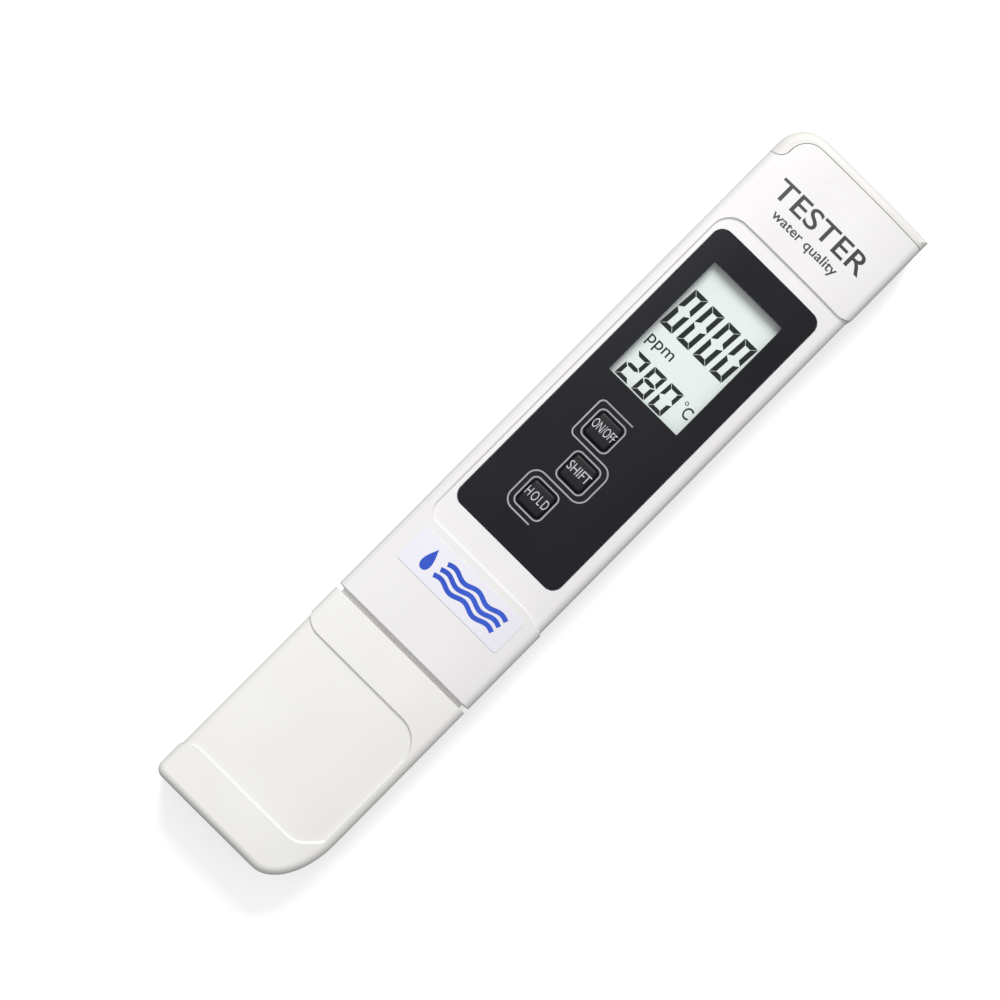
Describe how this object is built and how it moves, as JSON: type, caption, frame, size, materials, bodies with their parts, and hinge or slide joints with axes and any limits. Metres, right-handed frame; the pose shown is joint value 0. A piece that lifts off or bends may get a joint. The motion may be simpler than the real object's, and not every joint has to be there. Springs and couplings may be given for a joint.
{
  "type": "digital water tester",
  "caption": "Pen-shaped water conductivity meter with a display, press keys, a battery drawer and a pull-off cap over the probe pins.",
  "frame": {"origin": "middle of the rear face's bounding box, on the surface that the tester lies on", "axes": "+X to the right of the display, +Y towards the battery end, +Z out of the display"},
  "size_m": [0.03, 0.154, 0.0142],
  "materials": {
    "case_white": "satin moulded",
    "cap_white": "satin moulded",
    "panel_black": "fine satin",
    "key_black": "soft matte",
    "window_clear": "polished clear",
    "lcd_glass": "smooth grey-green",
    "lcd_film": "brushed silver film",
    "holder_plastic": "moulded",
    "connector_rubber": "striped elastomer",
    "board_green": "solder mask",
    "resin_black": "potting resin",
    "tinned_metal": "tinned",
    "capacitor_sleeve": "shrink sleeve",
    "switch_black": "moulded",
    "plunger_brown": "moulded",
    "trimmer_blue": "moulded",
    "contact_nickel": "nickel plated",
    "cell_steel": "nickel plated",
    "screw_zinc": "zinc plated",
    "probe_white": "moulded",
    "pin_metal": "polished",
    "lead_red": "wire sleeve",
    "lead_black": "wire sleeve",
    "lead_white": "wire sleeve",
    "label_pale": "gloss sticker"
  },
  "bodies": {
    "case": {"front_cover": "case_white", "rear_cover": "case_white", "control_panel": "panel_black", "display_window": "window_clear", "lcd_glass": "lcd_glass", "lcd_reflector": "lcd_film", "lcd_holder": "holder_plastic", "connector_strip_upper": "connector_rubber", "connector_strip_lower": "connector_rubber", "switch_body_on_off": "switch_black", "switch_body_shift": "switch_black", "switch_body_hold": "switch_black", "main_board": "board_green", "chip_resin": "resin_black", "crystal": "tinned_metal", "capacitor_1": "capacitor_sleeve", "capacitor_2": "capacitor_sleeve", "trimmer_body": "trimmer_blue", "contact_positive": "contact_nickel", "contact_negative": "contact_nickel", "case_screw_1": "screw_zinc", "case_screw_2": "screw_zinc", "case_screw_3": "screw_zinc", "case_screw_4": "screw_zinc", "probe_housing": "probe_white", "electrode_pin_left": "pin_metal", "electrode_pin_right": "pin_metal", "temperature_sensor": "pin_metal", "electrode_lead_left": "lead_red", "electrode_lead_right": "lead_black", "sensor_lead": "lead_white", "front_label": "label_pale"},
    "cap": {"protective_cap": "cap_white"},
    "battery_drawer": {"battery_cover": "case_white", "battery_tray": "holder_plastic", "contact_link": "contact_nickel", "button_cell_1": "cell_steel", "button_cell_2": "cell_steel"},
    "trimmer": {"trimmer_rotor": "tinned_metal"},
    "key_on_off": {"key_on_off": "key_black", "switch_plunger_on_off": "plunger_brown"},
    "key_shift": {"key_shift": "key_black", "switch_plunger_shift": "plunger_brown"},
    "key_hold": {"key_hold": "key_black", "switch_plunger_hold": "plunger_brown"}
  },
  "joints": [
    {"name": "cap_slide", "type": "slide", "parent": "case", "child": "cap", "axis": [0, -1, 0], "range_m": [0, 0.045]},
    {"name": "drawer_slide", "type": "slide", "parent": "case", "child": "battery_drawer", "axis": [0, 1, 0], "range_m": [0, 0.022]},
    {"name": "press_on_off", "type": "slide", "parent": "case", "child": "key_on_off", "axis": [0, 0, -1], "range_m": [0, 0.0004], "stiffness_N_per_m": 3000},
    {"name": "press_shift", "type": "slide", "parent": "case", "child": "key_shift", "axis": [0, 0, -1], "range_m": [0, 0.0004], "stiffness_N_per_m": 3000},
    {"name": "press_hold", "type": "slide", "parent": "case", "child": "key_hold", "axis": [0, 0, -1], "range_m": [0, 0.0004], "stiffness_N_per_m": 3000},
    {"name": "trimmer_turn", "type": "hinge", "parent": "case", "child": "trimmer", "pos_m": [0.0076, -0.0075, 0.005], "axis": [0, 0, 1], "range_deg": [-120, 120]}
  ]
}
